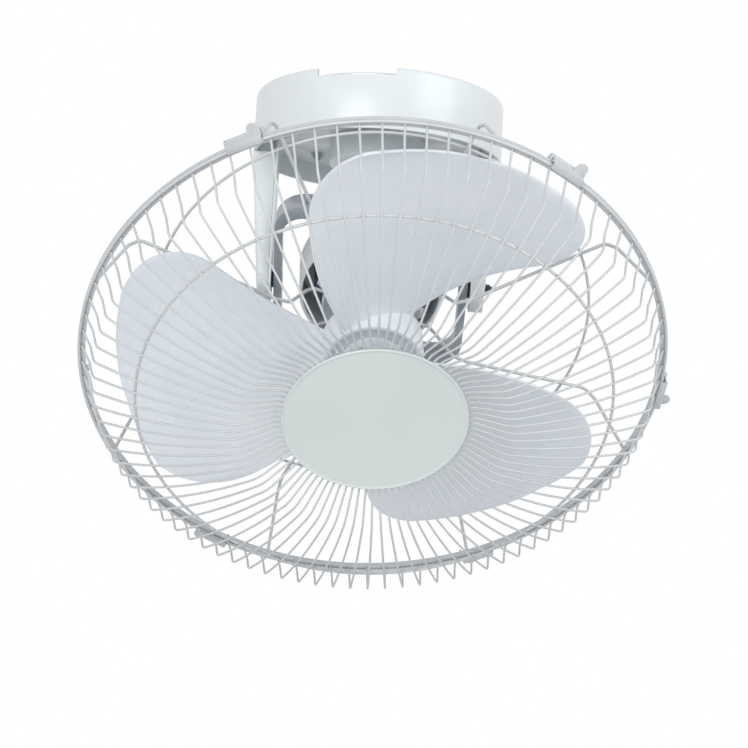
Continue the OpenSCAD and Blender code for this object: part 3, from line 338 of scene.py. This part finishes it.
# %% Softened copies
WELD_DISTANCE = 2e-6  # metres under which two corners are one
FLAT_ANGLE = radians(0.6)  # faces that meet at less than this are one flat face
EDGE_ANGLE = radians(38)  # edges sharper than this are rounded


def plain_mesh(obj, name):
    """The object as its modifiers leave it, as a mesh without any modifier."""
    seen = obj.evaluated_get(bpy.context.evaluated_depsgraph_get())
    mesh = bpy.data.meshes.new_from_object(seen)
    bpy.data.objects.remove(obj)
    mesh.name = name
    made = bpy.data.objects.new(name, mesh)
    scene.collection.objects.link(made)
    return made


def stand_for(piece, *nodes):
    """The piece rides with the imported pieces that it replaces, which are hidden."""
    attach(piece, body_of[nodes[0]])
    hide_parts(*nodes)


def smooth_faces(mesh, angle=35):
    """Smooth shading, with a crease wherever two faces meet at more than the angle."""
    mesh.shade_smooth()
    mesh.set_sharp_from_angle(angle=radians(angle))


def softened(node, width_mm):
    """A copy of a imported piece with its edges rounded."""
    name = node + "_soft"
    mesh = frame["nodes"][node].data.copy()
    copy = bpy.data.objects.new(name + "_raw", mesh)
    scene.collection.objects.link(copy)
    shape = bmesh.new()
    shape.from_mesh(mesh)
    bmesh.ops.remove_doubles(shape, verts=shape.verts, dist=WELD_DISTANCE)
    bmesh.ops.dissolve_limit(
        shape, angle_limit=FLAT_ANGLE, verts=shape.verts, edges=shape.edges)
    shape.to_mesh(mesh)
    shape.free()
    bevel = copy.modifiers.new("soft_edges", "BEVEL")
    bevel.width = width_mm * MM
    bevel.segments = 2
    bevel.limit_method = "ANGLE"
    bevel.angle_limit = EDGE_ANGLE
    bevel.use_clamp_overlap = True
    piece = plain_mesh(copy, name)
    smooth_faces(piece.data)
    stand_for(piece, node)
    return piece


# The width of the rounded edge of each piece, in millimetres.
SOFT_EDGES = {
    "canopy_shell": 0.7, "orbit_housing": 0.6, "left_leg_cover": 1.0, "right_leg_cover": 1.0,
    "left_inner_cover": 0.6, "right_inner_cover": 0.6, "gimbal_ring": 1.2,
    "motor_rear_shell": 0.8, "motor_front_shell": 0.8, "guard_band": 0.5,
    "guard_clip_1": 0.35, "guard_clip_2": 0.35, "guard_clip_3": 0.35, "guard_clip_4": 0.35,
    "guard_clip_5": 0.35, "tail_stem": 0.4, "pivot_screws": 0.6, "lock_nut": 0.3,
    "shell_bolts": 0.3, "crank_arm": 0.6, "roll_screws": 0.5, "ball_socket": 0.4,
    "mounting_plate": 0.3, "stator_core": 0.3, "canopy_nuts": 0.3, "band_screw": 0.15,
    "clamp_screws": 0.3, "badge_screws": 0.3, "badge_plate": 0.3, "motor_shaft": 0.3,
    "guard_clamp_ring": 0.3, "clip_pins": 0.15,
}
for node, width in SOFT_EDGES.items():
    softened(node, width)
print("softened", len(SOFT_EDGES), "pieces")

# %% [markdown]
# ## Wires of the guard
# Ninety front wires share one shape, so one wire is drawn as a bent line and a Geometry
# Nodes tree does the rest: it gives the line a round section, sets a copy at each step
# round the axis, and makes them one mesh. The same tree makes the eight rear stays.
# A wire is bent round a mandrel, so each corner of the line is first given its radius.

# %% Bent line
def bent_line(corners, radii, step=4.0):
    """The corners of a line in (radius, height), each rounded by its own radius."""
    points = [Vector(corners[0])]
    for i in range(1, len(corners) - 1):
        before = (Vector(corners[i]) - Vector(corners[i - 1])).normalized()
        after = (Vector(corners[i + 1]) - Vector(corners[i])).normalized()
        angle = atan2(before.x * after.y - before.y * after.x, before.dot(after))
        start = Vector(corners[i]) - before * radii[i] * tan(abs(angle) / 2)
        side = 1 if angle > 0 else -1
        middle = start + side * radii[i] * Vector((-before.y, before.x))
        steps = max(1, round(abs(degrees(angle)) / step)) if radii[i] else 0
        for k in range(steps + 1):
            turn = Matrix.Rotation(angle * k / max(steps, 1), 2)
            points.append(middle + turn @ (start - middle))
    return points + [Vector(corners[-1])]


# Sizes in millimetres; "s" is a height from the band's middle plane towards the badge.
GUARD_R, BAND_HALF, BADGE_R = 228.0, 1.7, 70.7
DOME_R, DOME_H = 327.0, 71.7  # the arc that the front wires follow, and its top
SEAT_S = DOME_H - 13.1  # the flat inner ends of the wires, under the badge
WIRE_D, RING_D, STAY_D = 1.8, 2.4, 2.8
WELD_GAP, SEAT_GAP = 0.03, 0.1  # between welded wires, and under a clamped piece
FRONT_WIRES, FIRST_WIRE_AZ = 90, -84.66  # count, and degrees
MID_RING_R, REAR_RING_R = 181.0, 175.2
CROWN_LEAN, RISE_LEAN = radians(8), radians(22.8)  # where the S-bend meets the dome, and its rise
dome_axis_r = BADGE_R - 4.2
shoulder_r, shoulder_run = GUARD_R - 15.2, 7.0
dome_lean = asin((shoulder_r - shoulder_run - dome_axis_r) / DOME_R)
dome_half = (dome_lean - CROWN_LEAN) / 2
outer_ring_r = GUARD_R - RING_D / 2 - WELD_GAP
wire_in_r = BADGE_R - 10.7
knee_r = BADGE_R + 4.8


def dome_point(lean, radius=DOME_R):
    """The point, in (radius, height), where a wire of the dome leans by the angle."""
    return (dome_axis_r + radius * sin(lean), DOME_H - DOME_R + radius * cos(lean))


crown_r, crown_s = dome_point(CROWN_LEAN)
crown_run = ((crown_s - SEAT_S + (crown_r - knee_r) * tan(CROWN_LEAN))
             / (tan(RISE_LEAN) + tan(CROWN_LEAN)))
end_r, end_s = dome_point(dome_lean)
front_corners = [
    (wire_in_r, SEAT_S),
    (knee_r, SEAT_S),
    (knee_r + crown_run, SEAT_S + crown_run * tan(RISE_LEAN)),
    dome_point(CROWN_LEAN + dome_half, DOME_R / cos(dome_half)),
    (end_r + shoulder_run, end_s - shoulder_run * tan(dome_lean)),
    (GUARD_R - 10.9, 20),
    (outer_ring_r - RING_D / 2 - WIRE_D / 2 - 0.02, BAND_HALF + 1),
]
front_wire = bent_line(front_corners, [0, 8, 25, DOME_R, 7.5, 3, 0], step=2.2)
print("points on a front wire:", len(front_wire))


# %% Trees that repeat a piece
COPY_SOCKETS = [("Copies", "Int"), ("First angle", "Float"), ("Step angle", "Float"),
                ("Finish", "Material")]


def new_group(name, inputs):
    """An empty Geometry Nodes group with its sockets, and what its input node gives."""
    tree = bpy.data.node_groups.new(name, "GeometryNodeTree")
    for label, kind in inputs:
        tree.interface.new_socket(label, in_out="INPUT", socket_type="NodeSocket" + kind)
    tree.interface.new_socket("Pieces", in_out="OUTPUT", socket_type="NodeSocketGeometry")
    return tree, add(tree, "NodeGroupInput").outputs


def end_with_copies(tree, given, shape):
    """Sets copies of the shape round the Z axis, makes them one painted mesh and ends."""
    places = add(tree, "GeometryNodePoints", {"Count": given["Copies"]})
    index = add(tree, "GeometryNodeInputIndex")
    angle = add(tree, "ShaderNodeMath", {
        0: index.outputs["Index"], 1: given["Step angle"], 2: given["First angle"]},
        operation="MULTIPLY_ADD")
    turn = add(tree, "ShaderNodeCombineXYZ", {"Z": angle.outputs["Value"]})
    copies = add(tree, "GeometryNodeInstanceOnPoints", {
        "Points": places.outputs["Points"], "Instance": shape, "Rotation": turn.outputs["Vector"]})
    real = add(tree, "GeometryNodeRealizeInstances", {"Geometry": copies.outputs["Instances"]})
    painted = add(tree, "GeometryNodeSetMaterial", {
        "Geometry": real.outputs["Geometry"], "Material": given["Finish"]})
    add(tree, "NodeGroupOutput", {"Pieces": painted.outputs["Geometry"]})
    return tree


def wire_tree():
    """Geometry Nodes: a line becomes a round wire, repeated round the Z axis."""
    tree, given = new_group("repeated_wire", [
        ("Line", "Geometry"), ("Wire radius", "Float"), ("Sides", "Int")] + COPY_SOCKETS)
    line = add(tree, "GeometryNodeMeshToCurve", {"Mesh": given["Line"]})
    section = add(tree, "GeometryNodeCurvePrimitiveCircle", {
        "Resolution": given["Sides"], "Radius": given["Wire radius"]})
    wire = add(tree, "GeometryNodeCurveToMesh", {
        "Curve": line.outputs["Curve"], "Profile Curve": section.outputs["Curve"],
        "Fill Caps": True})
    smooth = add(tree, "GeometryNodeSetShadeSmooth", {"Geometry": wire.outputs["Mesh"]})
    return end_with_copies(tree, given, smooth.outputs["Geometry"])


def piece_tree():
    """Geometry Nodes: a mesh repeated round the Z axis."""
    tree, given = new_group("repeated_mesh", [("Piece", "Geometry")] + COPY_SOCKETS)
    return end_with_copies(tree, given, given["Piece"])


def set_inputs(modifier, values):
    """Sets a Geometry Nodes modifier's inputs by socket identifier."""
    for item in modifier.node_group.interface.items_tree:
        if item.item_type == "SOCKET" and item.in_out == "INPUT" and item.name in values:
            modifier[item.identifier] = values[item.name]


def repeated(name, piece, tree, copies, first_az, **inputs):
    """The piece, repeated evenly round the Z axis by a tree, as one plain mesh."""
    modifier = piece.modifiers.new("copies", "NODES")
    modifier.node_group = tree
    set_inputs(modifier, {"Copies": copies, "First angle": radians(first_az),
                          "Step angle": radians(360 / copies), **inputs})
    return plain_mesh(piece, name)


def in_plane(points):
    """Points in (radius, height) as points of the plane where the azimuth is 0."""
    return [(r * MM, 0, s * MM) for r, s in points]


def repeated_wires(name, points, diameter, sides, copies=1, first_az=0):
    """Bent wires round the guard's axis, in place; a single one is closed into a ring."""
    mesh = bpy.data.meshes.new(name)
    edges = [(i, i + 1) for i in range(len(points) - 1)]
    if copies == 1:
        edges.append((len(points) - 1, 0))
    mesh.from_pydata(points, edges, [])
    line = bpy.data.objects.new(name + "_line", mesh)
    scene.collection.objects.link(line)
    piece = repeated(name, line, WIRES, copies, first_az, **{
        "Wire radius": diameter / 2 * MM, "Sides": sides, "Finish": wire_enamel})
    piece.data.transform(guard)
    return piece


WIRES = wire_tree()
front_wires = repeated_wires(
    "front_wires", in_plane(front_wire), WIRE_D, 8, FRONT_WIRES, FIRST_WIRE_AZ)
stand_for(front_wires, "front_guard_wires")
print("triangles in the front wires:",
      sum(len(p.vertices) - 2 for p in front_wires.data.polygons))

# %% [markdown]
# ## Rear stays and rings
# The eight rear stays are thicker wire, bent in and out to reach from the band to the
# motor's flange. The rings are wire too, butt-welded into circles. They lie a
# hair behind the wires that they tie together, as resistance welding leaves them.

# %% Stays
FLANGE_Z = 31.6  # the motor's flange, from the gimbal's centre
STAYS, FIRST_STAY_AZ = 8, 24
STAY_KNEE, STAY_DIP = (GUARD_R - 32, -64.8), (84, -47.5)  # its outer bend, and the next
stay_seat = FLANGE_Z + STAY_D / 2 + SEAT_GAP - BAND_Z
stay_corners = [
    (GUARD_R - 4.6, -BAND_HALF - 0.65), (GUARD_R - 23.5, -54), STAY_KNEE, STAY_DIP,
    (71, -49), (57, -71), (51, stay_seat), (28.5, stay_seat)]
rear_stay = bent_line(stay_corners, [0, 0, 8, 0, 5, 0, 4, 0], step=9)
rear_stays = repeated_wires("rear_stays", in_plane(rear_stay), STAY_D, 12, STAYS, FIRST_STAY_AZ)
stand_for(rear_stays, "rear_guard_stays")
print("points on a stay:", len(rear_stay))


# %% Rings
def circle_point(radius, height, k, count):
    """Point k of a circle round the guard's axis, divided into count parts."""
    turn = 2 * pi * k / count
    return Vector((radius * cos(turn), radius * sin(turn), height)) * MM


def ring_wire(name, radius, height, points=160):
    line = [circle_point(radius, height, k, points) for k in range(points)]
    return repeated_wires(name, line, RING_D, 12)


def joined(name, pieces):
    """Several meshes as one piece."""
    shape = bmesh.new()
    for piece in pieces:
        shape.from_mesh(piece.data)
    mesh = pieces[0].data.copy()
    shape.to_mesh(mesh)
    shape.free()
    for piece in pieces:
        bpy.data.objects.remove(piece)
    mesh.name = name
    made = bpy.data.objects.new(name, mesh)
    scene.collection.objects.link(made)
    return made


ring_gap = (WIRE_D + RING_D) / 2 + WELD_GAP
mid_lean = asin((MID_RING_R - dome_axis_r) / DOME_R)
mid_s = dome_point(mid_lean)[1]
ring_places = [
    (wire_in_r + 3, SEAT_S - ring_gap),
    (MID_RING_R - ring_gap * sin(mid_lean), mid_s - ring_gap * cos(mid_lean)),
    (outer_ring_r, BAND_HALF + RING_D / 2 + WELD_GAP),
]
front_rings = joined("front_rings", [ring_wire("ring", r, s) for r, s in ring_places])
stand_for(front_rings, "front_guard_rings")
stay_slope = atan2(STAY_DIP[1] - STAY_KNEE[1], STAY_KNEE[0] - STAY_DIP[0])
behind = (STAY_D / 2 + RING_D / 2 + WELD_GAP) / cos(stay_slope)
rear_ring_s = STAY_KNEE[1] + (STAY_KNEE[0] - REAR_RING_R) * tan(stay_slope) - behind
rear_ring = ring_wire("rear_ring", REAR_RING_R, rear_ring_s)
stand_for(rear_ring, "rear_guard_ring")
print("rear ring at", round(rear_ring_s, 1), "mm behind the band")

# %% [markdown]
# ## The propeller
# Each blade is a thin twisted sheet whose edges follow simple rules: both edges sweep
# back a little towards the tip, the rear edge bows up towards both ends, and both corners
# at the tip are rounded. A grid of points between the two edges makes the sheet, Solidify
# gives it 2 mm, and a bevel rounds its rim. A small tree sets three of them round the hub.

# %% One blade
BLADE_R, BLADE_T, BLADE_RIM, HUB_R = 200.0, 2.0, 0.8, 40.0
ROOT_R, MID_R = HUB_R - 2, 125.0
FRONT_AZ, SPAN, SWEEP = 114.2, 80.4, 0.13  # degrees, degrees, and degrees per mm outwards
FRONT_CORNER, REAR_CORNER = (50.6, 12.8), (64, 22.2)  # length in mm, swing in degrees
FRONT_S, FRONT_CLIMB, RISE = -1.4, 0.036, 40.5  # mm, mm per mm outwards, and mm
REAR_LOW_R, REAR_BOW = 106, 0.00169  # the rear edge is lowest here and bows up both ways
CAMBER, CAMBER_RUN = 2, 3 / 11  # mm, and the part of the blade where it grows to that


def corner_turn(r, corner):
    """How far, in degrees, a corner of the tip has turned back at the radius."""
    length, swing = corner
    t = min(1, max(0, (r - BLADE_R + length) / length))
    return swing * (1 - sqrt(1 - t * t))


def blade_point(u, v):
    """A point of the blade's middle sheet: u from rear to front edge, v from root to tip."""
    r = ROOT_R + (BLADE_R - ROOT_R) * sin(pi / 2 * v)
    swept = SWEEP * (r - MID_R)
    rear = FRONT_AZ - SPAN - swept + corner_turn(r, REAR_CORNER)
    front = FRONT_AZ - swept - corner_turn(r, FRONT_CORNER)
    az = radians(rear + u * (front - rear))
    rear_s = FRONT_S - RISE + REAR_BOW * (r - REAR_LOW_R) ** 2
    front_s = FRONT_S + FRONT_CLIMB * (r - MID_R)
    s = rear_s + u * (front_s - rear_s) - CAMBER * sin(pi * u) * min(1, v / CAMBER_RUN)
    return Vector((r * cos(az), r * sin(az), s)) * MM


def blade_sheet(across=30, along=40):
    points = [blade_point(i / across, j / along)
              for j in range(along + 1) for i in range(across + 1)]
    row = across + 1
    faces = [(j * row + i, j * row + i + 1, (j + 1) * row + i + 1, (j + 1) * row + i)
             for j in range(along) for i in range(across)]
    mesh = bpy.data.meshes.new("blade")
    mesh.from_pydata(points, [], faces)
    blade = bpy.data.objects.new("blade", mesh)
    scene.collection.objects.link(blade)
    thick = blade.modifiers.new("thickness", "SOLIDIFY")
    thick.thickness, thick.offset = BLADE_T * MM, 0
    rim = blade.modifiers.new("round_rim", "BEVEL")
    rim.width, rim.segments = BLADE_RIM * MM, 2
    rim.limit_method, rim.angle_limit = "ANGLE", radians(50)
    return blade


blade = plain_mesh(blade_sheet(), "blade")
print("faces in one blade:", len(blade.data.polygons))


# %% Hub and three blades
def turned(name, outline, steps=96):
    """A turned piece: the outline, in (radius, height), goes once round the Z axis."""
    shape = bmesh.new()
    rings = []
    for r, s in outline:
        if r == 0:
            rings.append([shape.verts.new((0, 0, s * MM))])
        else:
            rings.append([shape.verts.new(circle_point(r, s, k, steps)) for k in range(steps)])
    for low, high in zip(rings, rings[1:]):
        for k in range(steps):
            n = (k + 1) % steps
            if len(low) == 1:
                shape.faces.new((low[0], high[k], high[n]))
            elif len(high) == 1:
                shape.faces.new((low[k], low[n], high[0]))
            else:
                shape.faces.new((low[k], low[n], high[n], high[k]))
    bmesh.ops.recalc_face_normals(shape, faces=shape.faces)
    mesh = bpy.data.meshes.new(name)
    shape.to_mesh(mesh)
    shape.free()
    made = bpy.data.objects.new(name, mesh)
    scene.collection.objects.link(made)
    return made


blades = repeated("blades", blade, piece_tree(), 3, 0, Finish=blade_as)
HUB_BACK, HUB_FRONT, WEB = 74 - BAND_Z, -3.0, -12.0
# The hub's section, in (radius, height): a deep cup behind the web, a shallow one before it.
hub = turned("hub", [
    (4.2, HUB_BACK), (10, HUB_BACK), (10, WEB), (37, WEB), (37, HUB_BACK + 0.4), (37.4, HUB_BACK),
    (39.6, HUB_BACK), (40, HUB_BACK + 0.4), (40, HUB_FRONT - 1.2), (39.6, HUB_FRONT - 0.35),
    (38.8, HUB_FRONT), (37.2, HUB_FRONT), (36.5, HUB_FRONT - 0.3), (36, HUB_FRONT - 1),
    (36, WEB + 3.4), (35.4, WEB + 3), (4.2, WEB + 3), (4.2, HUB_BACK)])
propeller = joined("propeller_moulding", [blades, hub])
propeller.data.materials.clear()
propeller.data.materials.append(blade_as)
propeller.data.transform(guard)
smooth_faces(propeller.data, 40)
stand_for(propeller, "propeller")
print("propeller faces:", len(propeller.data.polygons))

# %% [markdown]
# ## The spinner nut
# A moulded nut holds the propeller. Its face is a flat disc with a ring of twelve short
# slots for a finger's grip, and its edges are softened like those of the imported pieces.

# %% Spinner nut
spinner = softened("spinner_nut", 0.6)
print("spinner nut:", len(spinner.data.polygons), "faces")

# %% [markdown]
# ## The badge
# The badge is a bare moulded disc that hides the wire ends. Its face is barely crowned,
# with a thin raised rim whose bright edge shows against the wires.

# %% Badge
badge_back = SEAT_S + WIRE_D / 2 + SEAT_GAP
POST_R, POST_DEPTH, POST_INSET = 4, 3.4, 10
# The badge's section, in (radius, height), from its back round the rim to the face.
badge = turned("badge_disc", [
    (0, badge_back), (BADGE_R - 0.7, badge_back), (BADGE_R - 0.2, badge_back + 0.2),
    (BADGE_R, badge_back + 0.7), (BADGE_R, badge_back + 1.5), (BADGE_R - 0.3, badge_back + 2.0),
    (BADGE_R - 0.8, badge_back + 2.2), (BADGE_R - 1.3, badge_back + 2.1),
    (BADGE_R - 1.9, badge_back + 1.5), (BADGE_R - 3, badge_back + 1.4), (0, badge_back + 1.7)],
    steps=128)
badge.data.materials.append(badge_abs)
posts = []
for k in range(3):
    low, high = SEAT_S - POST_DEPTH, badge_back + 0.2
    post = turned("post", [(0, low), (POST_R, low), (POST_R, high), (0, high)], 24)
    post.data.transform(Matrix.Rotation(2 * pi * k / 3, 4, "Z")
                        @ Matrix.Translation(((wire_in_r - POST_INSET) * MM, 0, 0)))
    posts.append(post)
badge = joined("badge_moulding", [badge] + posts)
badge.data.transform(guard)
smooth_faces(badge.data, 50)
stand_for(badge, "badge_cap")
print("badge radius", BADGE_R, "mm")

# %% [markdown]
# ## Floor, light and background
# The photograph is a plain studio shot on white. The world is white to the camera and in
# reflections, and softer for the light that it sheds. One large lamp at the front left and
# a weaker one on the right, higher up, model the shapes. The floor is far below the fan.

# %% Stage
FLOOR_HALF, FLOOR_Z = 1.8, -0.78
floor_mesh = bpy.data.meshes.new("floor")
floor_mesh.from_pydata(
    [(x * FLOOR_HALF, y * FLOOR_HALF, FLOOR_Z) for x, y in ((-1, -1), (1, -1), (1, 1), (-1, 1))],
    [], [(0, 1, 2, 3)])
floor = bpy.data.objects.new("floor", floor_mesh)
scene.collection.objects.link(floor)
floor_paint, floor_tree, _ = new_finish("floor_paper")
close_finish(floor_tree, add(floor_tree, "ShaderNodeBsdfPrincipled", {
    "Base Color": linear("F4F4F3"), "Roughness": 0.9, "Specular IOR Level": 0.1}))
floor_mesh.materials.append(floor_paint)
print("floor at z =", FLOOR_Z, "m")

# %% World
ROOM_STRENGTH = 0.62
world = bpy.data.worlds.new("studio")
world.use_nodes = True
scene.world = world
sky = world.node_tree
sky.nodes.clear()
rays = add(sky, "ShaderNodeLightPath")
seen_ray = add(sky, "ShaderNodeMath", {
    0: rays.outputs["Is Camera Ray"], 1: rays.outputs["Is Glossy Ray"]}, operation="MAXIMUM")
seen_ray = add(sky, "ShaderNodeMath", {
    0: seen_ray.outputs[0], 1: rays.outputs["Is Transmission Ray"]}, operation="MAXIMUM")
room = add(sky, "ShaderNodeBackground", {
    "Color": linear("F2F6FA"), "Strength": ROOM_STRENGTH})
white = add(sky, "ShaderNodeBackground", {"Color": (1, 1, 1, 1), "Strength": 1.0})
both = add(sky, "ShaderNodeMixShader", {
    0: seen_ray.outputs[0], 1: room.outputs[0], 2: white.outputs[0]})
add(sky, "ShaderNodeOutputWorld", {"Surface": both.outputs[0]})
print("world: white to the camera,", ROOM_STRENGTH, "as light")


# %% Lamps
LAMP_TARGET = (0, 0, -0.15)


def soft_lamp(name, place, size, power):
    """A round area lamp, aimed at the middle of the fan; the camera doesn't see it."""
    lamp = bpy.data.objects.new(name, bpy.data.lights.new(name, "AREA"))
    lamp.data.shape, lamp.data.size, lamp.data.energy = "DISK", size, power
    lamp.location = place
    way = Vector(LAMP_TARGET) - Vector(place)
    lamp.rotation_euler = way.to_track_quat("-Z", "Y").to_euler()
    lamp.visible_camera = False
    scene.collection.objects.link(lamp)
    return lamp


key = soft_lamp("key_lamp", (-0.9, -2.4, 0.1), 1.5, 28)
fill = soft_lamp("fill_lamp", (1.8, -1.5, 0.5), 1.5, 19)
print("lamps:", key.data.energy, "W and", fill.data.energy, "W")
